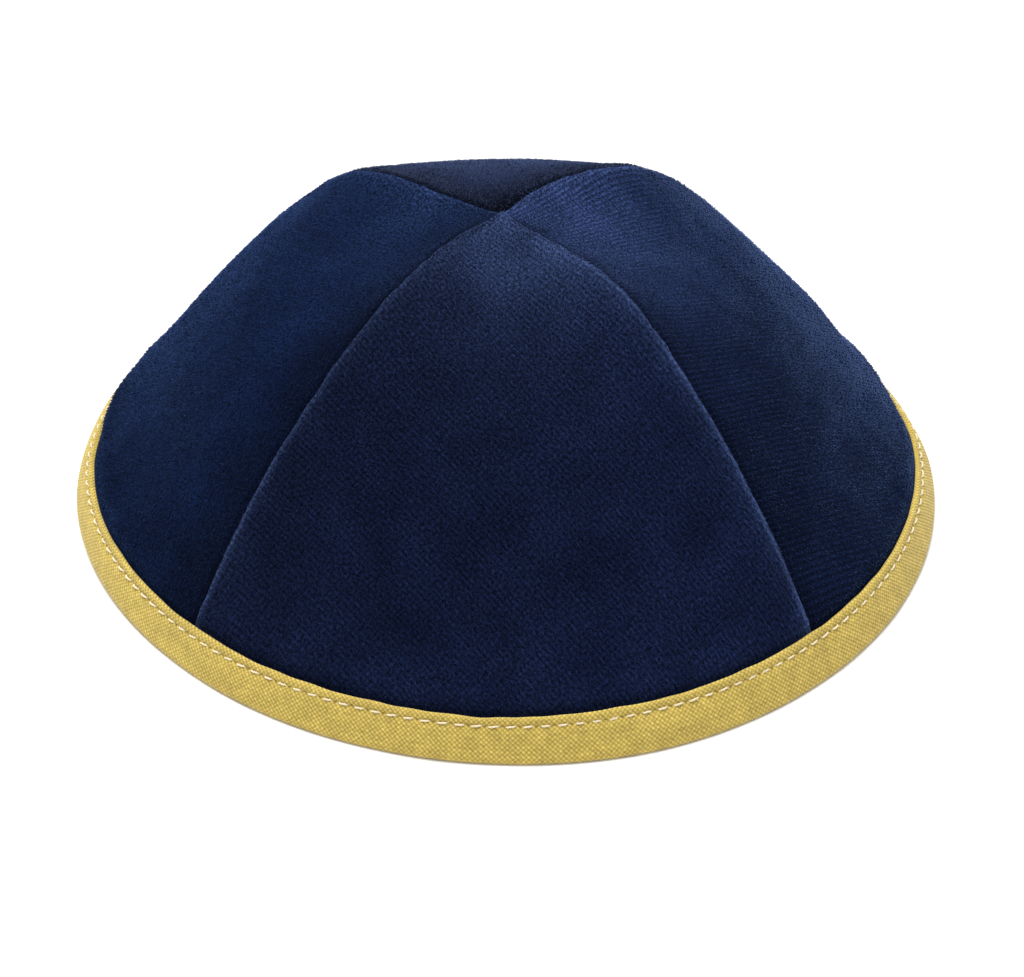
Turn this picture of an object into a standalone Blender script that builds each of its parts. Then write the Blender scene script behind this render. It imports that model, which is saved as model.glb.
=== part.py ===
"""A kippah skullcap: four velvet panels sewn into a dome, and a linen tape folded over its rim.

The cap stands on its rim. +Z is up, the front panel faces -Y, and the origin is the middle of the
rim on the surface that the cap rests on. Sizes are in metres and angles in degrees.
"""
import math
from collections import namedtuple

import bmesh
import bpy
import numpy as np

# Sizes of the whole cap. The crown's top leans to the side by the shift.
RIM_RADIUS = 0.0800
CROWN_HEIGHT = 0.0596
TOP_SHIFT_X = -0.0011

# The velvet, and the seams between its panels
VELVET_THICKNESS = 0.0015
SEAM_GAP = 0.0003
SEAM_ROLL_WIDTH = 0.0024
SEAM_ROLL_DEPTH = 0.0006
BELLY_POWER = 2.2

# The tape that is folded over the rim, and the channel inside it that holds the velvet's hem
TAPE_THICKNESS = 0.0010
TAPE_CLEARANCE = 0.0003
TAPE_EDGE_HEIGHT = 0.0077
TAPE_LEAN_DEG = 62.0
INNER_LEG_SHORTER = 0.0008
FOLD_CORNER = 0.0006

# How finely the pieces are divided. Rows crowd towards the rim, where the crown is steepest.
CROWN_ROWS = 15
HEM_ROWS = 2
MIDDLE_COLUMNS = 15
ROLL_COLUMN_SHARES = (0.0, 0.4, 1.0)
ROLL_MOST_OF_ROW = 0.12
ROLL_ENDS_AT_RIM = 8
ROW_CROWDING = 0.85
RING_STEPS = 72
OUTER_FOLD_STEPS = 6
INNER_FOLD_STEPS = 2
MERGE_DISTANCE = 0.00005

VELVET_COLOUR = (0.011, 0.018, 0.055, 1.0)
VELVET_ROUGHNESS = 0.9
LINEN_COLOUR = (0.60, 0.42, 0.075, 1.0)
LINEN_ROUGHNESS = 0.85

# Heights of the crown along a seam and along the middle of a panel. Radius is a share of the
# radius where the velvet meets the tape's edge, and height a share of the way from there to the top.
Section = namedtuple("Section", "radius_share seam_share belly_share")
SECTIONS = (
    Section(0.000, 1.000, 1.000),
    Section(0.130, 1.006, 0.971),
    Section(0.260, 1.003, 0.918),
    Section(0.380, 0.966, 0.842),
    Section(0.510, 0.854, 0.744),
    Section(0.640, 0.690, 0.613),
    Section(0.770, 0.500, 0.409),
    Section(0.880, 0.300, 0.208),
    Section(0.940, 0.166, 0.110),
    Section(0.975, 0.074, 0.052),
    Section(1.000, 0.000, 0.000),
)

# Where each seam runs, from the front (-Y) towards +X, and how far it turns aside at the shares
# of the rim's radius in SEAM_TURN_SHARES.
Seam = namedtuple("Seam", "angle_deg top_turn upper_turn middle_turn rim_turn")
SEAM_TURN_SHARES = (0.0, 0.30, 0.65, 1.0)
FRONT_LEFT = Seam(-45.0, -10.0, 4.0, 0.6, -1.1)
FRONT_RIGHT = Seam(45.0, -1.6, 1.4, 0.8, 0.6)
BACK_RIGHT = Seam(135.0, 13.0, -4.5, 1.6, 2.3)
BACK_LEFT = Seam(225.0, 22.0, 13.0, 3.2, 0.0)
FULL_TURN_DEG = 360.0
PANELS = {
    "panel_front": (FRONT_LEFT, FRONT_RIGHT),
    "panel_right": (FRONT_RIGHT, BACK_RIGHT),
    "panel_back": (BACK_RIGHT, BACK_LEFT),
    "panel_left": (BACK_LEFT, FRONT_LEFT._replace(angle_deg=FRONT_LEFT.angle_deg + FULL_TURN_DEG)),
}

# The hem's place, worked out from the sizes above: radius first, then height
TAPE_LEAN = math.radians(TAPE_LEAN_DEG)
DOWN_THE_WALL = np.array((math.cos(TAPE_LEAN), -math.sin(TAPE_LEAN)))
OUT_OF_THE_WALL = np.array((math.sin(TAPE_LEAN), math.cos(TAPE_LEAN)))
CHANNEL_HALF = VELVET_THICKNESS / 2 + TAPE_CLEARANCE
FOLD_HALF = CHANNEL_HALF + TAPE_THICKNESS
OUTER_CORNER = np.array((RIM_RADIUS - FOLD_CORNER, FOLD_CORNER))
HEM_HEIGHT = TAPE_THICKNESS + CHANNEL_HALF * OUT_OF_THE_WALL[1] + TAPE_CLEARANCE * math.sin(TAPE_LEAN)


def on_the_wall(out, height):
    """The point of the rim's section at a height, and this far out from the middle of the hem."""
    point = OUTER_CORNER + OUT_OF_THE_WALL * (FOLD_CORNER - FOLD_HALF + out)
    return point + DOWN_THE_WALL * (height - point[1]) / DOWN_THE_WALL[1]


HEM_END = on_the_wall(0.0, HEM_HEIGHT)
OUTER_LEG = (TAPE_EDGE_HEIGHT - HEM_HEIGHT - FOLD_HALF * OUT_OF_THE_WALL[1]) / math.sin(TAPE_LEAN)
HEM_OUTSIDE = HEM_END + OUT_OF_THE_WALL * VELVET_THICKNESS / 2
SEAT = HEM_OUTSIDE - DOWN_THE_WALL * OUTER_LEG


def clear_scene():
    for thing in list(bpy.data.objects):
        bpy.data.objects.remove(thing, do_unlink=True)


def make_material(name, colour, roughness):
    material = bpy.data.materials.new(name)
    material.use_nodes = True
    shader = material.node_tree.nodes["Principled BSDF"]
    shader.inputs["Base Color"].default_value = colour
    shader.inputs["Roughness"].default_value = roughness
    shader.inputs["Metallic"].default_value = 0.0
    return material


def smooth(x, keys, values):
    """A cubic curve through the points, which rises and falls only where they do."""
    keys = np.asarray(keys, dtype=float)
    values = np.asarray(values, dtype=float)
    steps = np.diff(keys)
    rises = np.diff(values) / steps
    slopes = np.empty(len(keys))
    slopes[0], slopes[-1] = rises[0], rises[-1]
    for i in range(1, len(keys) - 1):
        before, after = rises[i - 1], rises[i]
        slopes[i] = 2 * before * after / (before + after) if before * after > 0 else 0.0
    i = np.clip(np.searchsorted(keys, x, side="right") - 1, 0, len(steps) - 1)
    t = (np.asarray(x, dtype=float) - keys[i]) / steps[i]
    start = (1 + 2 * t) * (1 - t) ** 2 * values[i] + t * (1 - t) ** 2 * steps[i] * slopes[i]
    end = t * t * (3 - 2 * t) * values[i + 1] - t * t * (1 - t) * steps[i] * slopes[i + 1]
    return start + end


def crown_height(radius_share, kind):
    """Height of the velvet's outer side along a seam or a belly."""
    shares = [section.radius_share for section in SECTIONS]
    heights = [getattr(section, kind) for section in SECTIONS]
    return SEAT[1] + (CROWN_HEIGHT - SEAT[1]) * smooth(radius_share, shares, heights)


def seam_angle(seam, radius):
    turns = (seam.top_turn, seam.upper_turn, seam.middle_turn, seam.rim_turn)
    turn = smooth(min(radius / RIM_RADIUS, 1.0), SEAM_TURN_SHARES, turns)
    return math.radians(seam.angle_deg + turn)


def column_shares(roll_share):
    """Columns across a row: a few close to each seam, and the rest evenly spread between them."""
    edge = np.array(ROLL_COLUMN_SHARES) * roll_share
    middle = np.linspace(roll_share, 1 - roll_share, MIDDLE_COLUMNS)[1:-1]
    return np.concatenate((edge, middle, 1 - edge[::-1]))


def panel_rows(left, right):
    """Angle, radius and height of each point on a panel's outer side before its seams roll in."""
    tip_radius = SEAM_GAP / 2 / math.sin((seam_angle(right, 0.0) - seam_angle(left, 0.0)) / 2)
    crown_shares = np.linspace(0, 1, CROWN_ROWS + 1) ** ROW_CROWDING
    hem_shares = np.linspace(0, 1, HEM_ROWS + 1)[1:]
    angles, radii, heights, rolls = [], [], [], []
    for down, share in [(0.0, s) for s in crown_shares] + [(s, 1.0) for s in hem_shares]:
        seat = SEAT + DOWN_THE_WALL * OUTER_LEG * down
        radius = max(share * seat[0], tip_radius)
        inset = math.asin(SEAM_GAP / 2 / radius)
        start = seam_angle(left, radius) + inset
        end = seam_angle(right, radius) - inset
        if radius == tip_radius:
            start = end = (start + end) / 2
        width = max(radius * (end - start), SEAM_GAP / 2)
        roll_share = min(SEAM_ROLL_WIDTH / width, ROLL_MOST_OF_ROW)
        across = column_shares(roll_share)
        bulge = 1 - np.abs(2 * across - 1) ** BELLY_POWER
        seam_height = crown_height(share, "seam_share")
        belly_height = crown_height(share, "belly_share")
        height = seam_height + (belly_height - seam_height) * bulge
        edge_share = np.minimum(across, 1 - across) / roll_share
        roll = np.clip(1 - edge_share, 0, 1) ** 2 * SEAM_ROLL_DEPTH
        roll *= min(roll_share * width / SEAM_ROLL_WIDTH, 1.0) * (1 - share ** ROLL_ENDS_AT_RIM)
        angles.append(start + (end - start) * across)
        radii.append(np.full(len(across), radius))
        heights.append(height - SEAT[1] + seat[1])
        rolls.append(roll)
    return np.array(angles), np.array(radii), np.array(heights), np.array(rolls)


def placed(angle, radius, height):
    """Points in space, with the top of the crown leaning a little to one side."""
    rise = (height - SEAT[1]) / (CROWN_HEIGHT - SEAT[1])
    x = radius * np.sin(angle) + TOP_SHIFT_X * np.clip(rise, 0, None)
    return np.stack((x, -radius * np.cos(angle), height), axis=-1)


def panel_skins(left, right):
    """The outer and inner sides of a panel, a wall's thickness apart in each upright section."""
    angle, radius, height, roll = panel_rows(left, right)
    run, fall = np.gradient(radius, axis=0), np.gradient(height, axis=0)
    run[0], fall[0] = 1.0, 0.0
    length = np.hypot(run, fall)
    outward, upward = -fall / length, run / length
    sides = []
    for depth in (roll, roll + VELVET_THICKNESS):
        sides.append(placed(angle, radius - depth * outward, height - depth * upward))
    return sides


def add_skin(bm, points):
    """Vertices of one side, row by row. The first row is the panel's tip, one point."""
    tip = bm.verts.new(points[0][0])
    rows = [[tip] * len(points[0])]
    rows += [[bm.verts.new(point) for point in row] for row in points[1:]]
    return rows


def fill_between(bm, first, second):
    """Faces between two lines of vertices, with triangles where they share one."""
    for i in range(len(first) - 1):
        corners = (first[i], first[i + 1], second[i + 1], second[i])
        bm.faces.new(tuple(dict.fromkeys(corners)))


def make_panel(name, left, right, material):
    bm = bmesh.new()
    outer, inner = (add_skin(bm, side) for side in panel_skins(left, right))
    for rows in (outer, inner):
        for upper, lower in zip(rows, rows[1:]):
            fill_between(bm, upper, lower)
    for column in (0, -1):
        fill_between(bm, [row[column] for row in outer], [row[column] for row in inner])
    fill_between(bm, outer[-1], inner[-1])
    bmesh.ops.recalc_face_normals(bm, faces=bm.faces)
    return finish_object(name, bm, material)


def wall_point(out, up):
    """A point of the rim's section, from the hem's end: out of the wall, and up along it."""
    return HEM_END + OUT_OF_THE_WALL * out - DOWN_THE_WALL * up


def corner_arc(centre, start_deg, end_deg, steps):
    turns = np.radians(np.linspace(start_deg, end_deg, steps + 1))
    return [centre + FOLD_CORNER * np.array((math.cos(turn), math.sin(turn))) for turn in turns]


def binding_section():
    """The tape's section at +X: down its outside, round the fold, up inside, and round the channel."""
    inner_leg = OUTER_LEG - INNER_LEG_SHORTER
    out_deg = 90.0 - TAPE_LEAN_DEG
    inner_corner = on_the_wall(FOLD_CORNER - FOLD_HALF, FOLD_CORNER)
    outside = [wall_point(FOLD_HALF, OUTER_LEG)]
    outside += corner_arc(OUTER_CORNER, out_deg, -90.0, OUTER_FOLD_STEPS)
    inside = corner_arc(inner_corner, -90.0, out_deg - 180.0, INNER_FOLD_STEPS)
    inside += [wall_point(-FOLD_HALF, inner_leg), wall_point(-CHANNEL_HALF, inner_leg)]
    channel = [wall_point(-CHANNEL_HALF, -TAPE_CLEARANCE), wall_point(CHANNEL_HALF, -TAPE_CLEARANCE)]
    return outside + inside + channel + [wall_point(CHANNEL_HALF, OUTER_LEG)]


def make_binding(name, material):
    bm = bmesh.new()
    section = [bm.verts.new((radius, 0.0, height)) for radius, height in binding_section()]
    for start, end in zip(section, section[1:] + section[:1]):
        bm.edges.new((start, end))
    ring = finish_object(name, bm, material)
    turn = ring.modifiers.new("round the rim", "SCREW")
    turn.steps = turn.render_steps = RING_STEPS
    turn.use_merge_vertices = True
    turn.merge_threshold = MERGE_DISTANCE
    return ring


def finish_object(name, bm, material):
    mesh = bpy.data.meshes.new(name)
    bm.to_mesh(mesh)
    bm.free()
    mesh.materials.append(material)
    mesh.shade_smooth()
    thing = bpy.data.objects.new(name, mesh)
    collection().objects.link(thing)
    return thing


def collection():
    name = "kippah_skullcap"
    found = bpy.data.collections.get(name)
    if found is None:
        found = bpy.data.collections.new(name)
        bpy.context.scene.collection.children.link(found)
    return found


def main():
    clear_scene()
    for name, (left, right) in PANELS.items():
        make_panel(name, left, right, make_material(name + "_velvet", VELVET_COLOUR, VELVET_ROUGHNESS))
    make_binding("rim_binding", make_material("rim_linen", LINEN_COLOUR, LINEN_ROUGHNESS))


main()
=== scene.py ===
"""Looks of the kippah skullcap: pile velvet panels, a bias-cut linen tape round the rim, topstitching.

Everything is in metres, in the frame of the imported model: +Z up, the front panel facing -Y, and the
origin in the middle of the rim on the surface that the cap rests on. Angles are in degrees.
"""
import math
from collections import namedtuple

import bmesh
import bpy
import numpy as np
from mathutils import Matrix, Vector


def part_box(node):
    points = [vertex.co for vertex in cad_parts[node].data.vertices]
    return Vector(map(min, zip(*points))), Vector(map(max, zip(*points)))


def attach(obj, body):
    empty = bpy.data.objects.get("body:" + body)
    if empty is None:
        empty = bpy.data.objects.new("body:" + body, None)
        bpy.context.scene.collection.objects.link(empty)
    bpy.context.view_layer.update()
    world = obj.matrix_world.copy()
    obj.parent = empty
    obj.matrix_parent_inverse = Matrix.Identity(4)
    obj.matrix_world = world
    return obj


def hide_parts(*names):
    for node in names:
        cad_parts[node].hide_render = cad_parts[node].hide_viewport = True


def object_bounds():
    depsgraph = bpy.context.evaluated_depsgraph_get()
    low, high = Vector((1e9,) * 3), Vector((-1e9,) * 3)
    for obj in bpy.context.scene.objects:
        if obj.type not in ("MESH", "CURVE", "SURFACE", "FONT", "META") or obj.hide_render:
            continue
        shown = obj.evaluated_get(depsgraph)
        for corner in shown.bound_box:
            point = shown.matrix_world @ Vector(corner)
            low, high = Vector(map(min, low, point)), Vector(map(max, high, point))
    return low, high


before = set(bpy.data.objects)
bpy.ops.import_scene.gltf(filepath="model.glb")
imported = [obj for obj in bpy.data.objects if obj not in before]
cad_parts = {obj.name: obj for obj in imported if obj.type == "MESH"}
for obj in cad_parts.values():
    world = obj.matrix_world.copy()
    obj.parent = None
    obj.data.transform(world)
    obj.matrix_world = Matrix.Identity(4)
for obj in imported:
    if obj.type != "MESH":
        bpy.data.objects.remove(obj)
CAD_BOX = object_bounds()

MM = 0.001
FULL_TURN_DEG = 360.0

# The cap's own sizes: its rim and top are read from the model, the others repeat the construction
RIM_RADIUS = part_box("rim_binding")[1].x
CROWN_HEIGHT = CAD_BOX[1].z
TOP_SHIFT_X = -1.1 * MM
VELVET_THICKNESS = 1.5 * MM
SEAM_GAP = 0.04 * MM
BELLY_POWER = 2.2
TAPE_THICKNESS = 1.0 * MM
TAPE_CLEARANCE = 0.3 * MM
TAPE_EDGE_HEIGHT = 7.7 * MM
TAPE_LEAN_DEG = 62.0
INNER_LEG_SHORTER = 0.8 * MM
FOLD_CORNER = 0.6 * MM

# The crown's height, as a share of the way from the tape's edge to the top, at shares of its radius
Section = namedtuple("Section", "radius_share seam_share belly_share")
SECTIONS = (
    Section(0.000, 1.000, 1.000),
    Section(0.130, 1.006, 0.971),
    Section(0.260, 1.003, 0.918),
    Section(0.380, 0.966, 0.842),
    Section(0.510, 0.854, 0.744),
    Section(0.640, 0.690, 0.613),
    Section(0.770, 0.500, 0.409),
    Section(0.880, 0.300, 0.208),
    Section(0.940, 0.166, 0.110),
    Section(0.975, 0.074, 0.052),
    Section(1.000, 0.000, 0.000),
)

# Where each seam runs, from the front towards +X, and how far it turns aside on the way down
Seam = namedtuple("Seam", "angle_deg top_turn upper_turn middle_turn rim_turn seed")
SEAM_TURN_SHARES = (0.0, 0.30, 0.65, 1.0)
FRONT_LEFT = Seam(-45.0, -10.0, 4.0, 0.6, -1.1, 1)
FRONT_RIGHT = Seam(45.0, -1.6, 1.4, 0.8, 0.6, 2)
BACK_RIGHT = Seam(135.0, 13.0, -4.5, 1.6, 2.3, 3)
BACK_LEFT = Seam(225.0, 22.0, 13.0, 3.2, 0.0, 4)

# Each panel between its two seams. An edge is over or under its neighbour's, the pile leans across
# and up the panel, and its rows are stronger or fainter.
Panel = namedtuple("Panel", "name left right left_over right_over tip_lift lean_across lean_up rows seed")
PANELS = (
    Panel("front", FRONT_LEFT, FRONT_RIGHT, True, True, 0.45 * MM, -0.30, -0.55, 0.45, 11),
    Panel("right", FRONT_RIGHT, BACK_RIGHT, False, True, -0.05 * MM, 0.20, -0.50, 0.90, 12),
    Panel("back", BACK_RIGHT, BACK_LEFT, False, False, -0.9 * MM, -0.20, -0.60, 0.25, 13),
    Panel("left", BACK_LEFT, FRONT_LEFT._replace(angle_deg=FRONT_LEFT.angle_deg + FULL_TURN_DEG),
          True, False, -0.05 * MM, 0.25, -0.60, 0.32, 14),
)

# How finely a panel is divided, and the zone along each seam with columns of its own
PANEL_ROWS = 140
PANEL_COLUMNS = 160
HEM_ROWS = 4
EDGE_COLUMNS = 12
EDGE_ZONE = 3.2 * MM
EDGE_MOST_OF_ROW = 0.25
INNER_STEP = 4

# The sewn edges of the panels
OVER_ROLL = 0.5 * MM
OVER_PUFF = 0.20 * MM
OVER_PUFF_AT = 1.3 * MM
UNDER_DIP = 0.48 * MM
UNDER_DIP_LESS_AT_RIM = 0.55
UNDER_WIDTH = 1.4 * MM
SCALLOP = 0.06 * MM
SCALLOP_LENGTH = 1.9 * MM
SEAM_WANDER = 0.09 * MM
SEAM_WANDER_LENGTH = 6.0 * MM

# Places where this cap's cloth stands out a little more: around the rim, and how far out from the top
Swelling = namedtuple("Swelling", "angle_deg radius_share reach rise")
SWELLINGS = (
    Swelling(-114.0, 0.970, 11.0 * MM, 1.6 * MM),
    Swelling(-99.0, 0.975, 11.0 * MM, 1.3 * MM),
    Swelling(113.0, 0.970, 12.0 * MM, 2.1 * MM),
    Swelling(218.0, 0.36, 14.0 * MM, 1.1 * MM),
    Swelling(160.0, 0.30, 16.0 * MM, 0.9 * MM),
)

# How this cap's soft rim is pulled out of round: outwards and upwards at the tape's upper edge,
# and outwards at the table
RimPlace = namedtuple("RimPlace", "angle_deg out up foot")
RIM_PLACES = (
    RimPlace(-180.0, -0.2 * MM, -0.2 * MM, 0.0 * MM),
    RimPlace(-145.0, -0.8 * MM, -0.8 * MM, -0.2 * MM),
    RimPlace(-117.0, -1.3 * MM, -1.2 * MM, -0.4 * MM),
    RimPlace(-100.0, -0.2 * MM, -0.3 * MM, 0.0 * MM),
    RimPlace(-82.0, 1.1 * MM, 0.0 * MM, 0.0 * MM),
    RimPlace(-45.0, 0.2 * MM, 0.1 * MM, -0.7 * MM),
    RimPlace(-18.0, 0.0 * MM, 0.0 * MM, -0.5 * MM),
    RimPlace(0.0, 0.3 * MM, -0.1 * MM, 0.0 * MM),
    RimPlace(20.0, 0.2 * MM, 0.2 * MM, 0.5 * MM),
    RimPlace(45.0, 0.0 * MM, 0.6 * MM, 0.1 * MM),
    RimPlace(65.0, 0.2 * MM, 0.6 * MM, 0.0 * MM),
    RimPlace(92.0, 0.5 * MM, 0.1 * MM, 0.0 * MM),
    RimPlace(114.0, -1.6 * MM, -1.3 * MM, -0.5 * MM),
    RimPlace(145.0, -0.8 * MM, -0.8 * MM, -0.2 * MM),
    RimPlace(180.0, -0.2 * MM, -0.2 * MM, 0.0 * MM),
)
RIM_PULL_STARTS, RIM_PULL_FADE = 0.82, 0.15

# Soft unevenness of the cloth, and its swell just above the tape
BROAD_WAVE, BROAD_WAVE_LENGTH = 0.18 * MM, 26.0 * MM
SMALL_WAVE, SMALL_WAVE_LENGTH = 0.03 * MM, 8.0 * MM
HEM_PUFF, HEM_PUFF_AT, HEM_PUFF_WIDTH = 0.45 * MM, 2.0 * MM, 2.2 * MM
PUCKER, PUCKER_LENGTH, PUCKER_REACH = 0.06 * MM, 8.5 * MM, 5.0 * MM
PILE_BED = 0.15 * MM
TIP_LIFT_REACH = 4.0 * MM

# How far the panels' inner sides lap at the seams, and their bulk at the top, where the seams meet
SEAM_LAP = 0.3 * MM
TIP_BULK, TIP_BULK_REACH = 0.65 * MM, 8.0 * MM

# Painted sheen along an edge that lies over its neighbour's: a paler band and a thin pale line at its roll;
# and how far the painted shade reaches beside an edge that lies under
EDGE_PAINTED_SHEEN_WIDTH = 3.0 * MM
EDGE_LINE_PAINTED_SHEEN, EDGE_LINE_WIDTH = 1.6, 0.85 * MM
UNDER_SHADE_REACH = 0.7 * MM

# The pile: short tufts that stand on the panels
TUFT_SPACING = 0.415 * MM
TUFT_LENGTH = 0.50 * MM
TUFT_RADIUS = 0.155 * MM
TUFT_SINK = 0.12 * MM
PILE_BELOW_TIP, PILE_ABOVE_TAPE, PILE_OFF_SEAM = 0.6 * MM, 0.35 * MM, 0.12 * MM
ROW_DEG = 47.0
ROW_PITCH, CROSS_PITCH = 0.93 * MM, 0.86 * MM
ROW_SHARE, CROSS_SHARE = 0.65, 0.35
ROW_WANDER, ROW_WANDER_LENGTH = 0.08 * MM, 6.0 * MM
DASH_LENGTH, DASH_WIDTH = 0.85 * MM, 0.52 * MM
DASH_TINT, DASH_RISE = 0.50, 0.25
ROW_TINT, ROW_RISE = 0.80, 0.40
TUFT_TINT_SPREAD, LEAST_TINT, MOST_TINT = 0.38, 0.15, 3.0
TUFT_LENGTH_SPREAD, SHORTEST_TUFT, LONGEST_TUFT = 0.16, 0.3, 1.6
EDGE_TUFTS_SHORTER, EDGE_TUFTS_REACH = 0.35, 1.2 * MM
PALE_NAP_EVENNESS = 0.5
MOTTLE, MOTTLE_LENGTH = 0.09, 13.0 * MM
BLOTCH, BLOTCH_LENGTH = 0.07, 5.0 * MM
TUFT_LEAN_SPREAD = 0.30
LEAN_DRIFT, ASIDE_DRIFT_LENGTH, DOWN_DRIFT_LENGTH = 0.12, 9.0 * MM, 7.0 * MM
TUFT_SEED = 5

# The nap of each panel: its ground, dark as painted shade deep in the pile, its tips, the colour of its
# painted sheen, the sheen at grazing angles, how much painted sheen at the top and along its over edges, how
# much painted shade beside a seam that covers it and how far, how much it gains from its left side to its
# right and towards the rim, and how strong its grain is
VelvetLook = namedtuple("VelvetLook", "ground tip pale sheen sheen_weight sheen_roughness"
                                      " top_bloom top_reach edge_bloom seam_shade shade_reach side_gain"
                                      " rim_gain grain")
VELVET_LOOKS = {
    "front": VelvetLook(
        (0.0018, 0.0037, 0.0145, 1), (0.0068, 0.0121, 0.0390, 1), (0.0235, 0.0385, 0.0980, 1),
        (0.20, 0.34, 0.80, 1), 0.14, 0.28, 0.85, 22.0 * MM, 0.34, 0.0, 6.0 * MM, 0.4, 0.35, 1.0),
    "right": VelvetLook(
        (0.0015, 0.0037, 0.0150, 1), (0.0046, 0.0114, 0.0420, 1), (0.0270, 0.0450, 0.1280, 1),
        (0.25, 0.42, 0.95, 1), 0.46, 0.30, 0.95, 30.0 * MM, 0.20, 0.18, 6.0 * MM, 0.0, -0.12, 0.5),
    "back": VelvetLook(
        (0.0015, 0.0037, 0.0160, 1), (0.0058, 0.0118, 0.0450, 1), (0.0330, 0.0460, 0.1060, 1),
        (0.32, 0.46, 0.90, 1), 0.42, 0.28, 0.55, 34.0 * MM, 0.0, 0.72, 9.0 * MM, 0.0, 0.0, 1.2),
    "left": VelvetLook(
        (0.0014, 0.0036, 0.0150, 1), (0.0043, 0.0118, 0.0450, 1), (0.0190, 0.0360, 0.1020, 1),
        (0.17, 0.36, 0.98, 1), 0.33, 0.30, 0.52, 24.0 * MM, 0.24, 0.42, 8.0 * MM, 0.0, -0.18, 2.2),
}
PAINTED_CREASE_SHADE = (0.001, 0.0012, 0.003, 1)
VELVET_BACK_DARK, VELVET_BACK_PALE = (0.006, 0.008, 0.020, 1), (0.012, 0.016, 0.038, 1)

# The tape's weave, cut on the bias: a repeat along the tape and across it, and its relief
WEAVE_REPEAT = 0.88 * MM
WEAVE_RELIEF = 0.06 * MM
WEAVE_STEPS = 4
THREAD_OVER, WEFT_LOWER, WEAVE_SPAN = 0.5, 0.15, 0.6
# Painted shade in the gaps between threads and in the needle holes, painted highlight on the thread crowns
LINEN_GAP_PAINTED_SHADE, LINEN_CROWN_PAINTED_HIGHLIGHT, LINEN_HOLE_PAINTED_SHADE = (0.42, 0.30, 0.060, 1), (0.72, 0.565, 0.152, 1), (0.09, 0.06, 0.03, 1)
TAPE_TOP_ROUND = 0.42 * MM
TAPE_EDGE_START = 0.15 * MM
TAPE_FINE_LENGTH = 8.3 * MM
TAPE_COARSE_STEP = 0.62 * MM
TAPE_WAVE, TAPE_WAVE_LENGTH = 0.12 * MM, 19.0 * MM
TAPE_SHOWN_LENGTH = 9.5 * MM
TAPE_EDGE_WAVE, TAPE_EDGE_WAVE_LENGTH, TAPE_EDGE_WAVE_REACH = 0.10 * MM, 7.0 * MM, 1.2 * MM
TAPE_BILLOW, TAPE_BILLOW_AT = 0.16 * MM, 3.0 * MM
SERRATION, SERRATION_AT, SERRATION_WIDTH = 0.13 * MM, 0.9 * MM, 0.5 * MM

# The row of topstitches along the tape
STITCH_PITCH = 2.93 * MM
STITCH_LENGTH = 1.75 * MM
STITCH_BELOW_EDGE = 1.5 * MM
STITCH_PLY_RADIUS = 0.105 * MM
STITCH_RISE = 0.15 * MM
STITCH_SLANT_DEG = 6.0
STITCH_TWISTS = 2.0
STITCH_POINTS, STITCH_SIDES = 12, 5
STITCH_END_SINK = 0.32 * MM
STITCH_SEED = 21
THREAD_DARK, THREAD_PALE = (0.74, 0.62, 0.42, 1), (0.92, 0.84, 0.66, 1)
GROOVE_DEPTH, GROOVE_HALF_WIDTH = 0.22 * MM, 0.55 * MM
HOLE_DEPTH, HOLE_LENGTH, HOLE_WIDTH = 0.20 * MM, 0.30 * MM, 0.17 * MM

# The camera, solved from the photograph on the rim, the seams and the outline
CAMERA_ELEVATION_DEG = 37.56
CAMERA_DISTANCE = 656.8 * MM
CAMERA_ROLL_DEG = 0.75
CAMERA_ASIDE, CAMERA_DOWN = 1.07 * MM, 1.75 * MM
CAMERA_LENS_MM = 122.98
CAMERA_SENSOR_MM = 36.0

# The studio: a pale floor, an even sky and one round lamp overhead
FLOOR_HALF, FLOOR_LEVEL = 2.0, -0.05 * MM
FLOOR_COLOUR = (0.92, 0.92, 0.92, 1)
SKY_STRENGTH = 0.62
LAMP_PLACE, LAMP_SIZE, LAMP_WATTS = (-0.14, 0.15, 1.05), 0.9, 14.0

# The hem's place, worked out from the sizes above: radius first, then height
TAPE_LEAN = math.radians(TAPE_LEAN_DEG)
DOWN_THE_WALL = np.array((math.cos(TAPE_LEAN), -math.sin(TAPE_LEAN)))
OUT_OF_THE_WALL = np.array((math.sin(TAPE_LEAN), math.cos(TAPE_LEAN)))
CHANNEL_HALF = VELVET_THICKNESS / 2 + TAPE_CLEARANCE
FOLD_HALF = CHANNEL_HALF + TAPE_THICKNESS
OUTER_CORNER = np.array((RIM_RADIUS - FOLD_CORNER, FOLD_CORNER))
HEM_HEIGHT = TAPE_THICKNESS + CHANNEL_HALF * OUT_OF_THE_WALL[1] + TAPE_CLEARANCE * math.sin(TAPE_LEAN)


def on_the_wall(out, height):
    """The point of the rim's section at a height, and this far out from the middle of the hem."""
    point = OUTER_CORNER + OUT_OF_THE_WALL * (FOLD_CORNER - FOLD_HALF + out)
    return point + DOWN_THE_WALL * (height - point[1]) / DOWN_THE_WALL[1]


HEM_END = on_the_wall(0.0, HEM_HEIGHT)
OUTER_LEG = (TAPE_EDGE_HEIGHT - HEM_HEIGHT - FOLD_HALF * OUT_OF_THE_WALL[1]) / math.sin(TAPE_LEAN)
HEM_OUTSIDE = HEM_END + OUT_OF_THE_WALL * VELVET_THICKNESS / 2
SEAT = HEM_OUTSIDE - DOWN_THE_WALL * OUTER_LEG
INNER_LEG = OUTER_LEG - INNER_LEG_SHORTER


# Shapes that follow a rule

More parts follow.
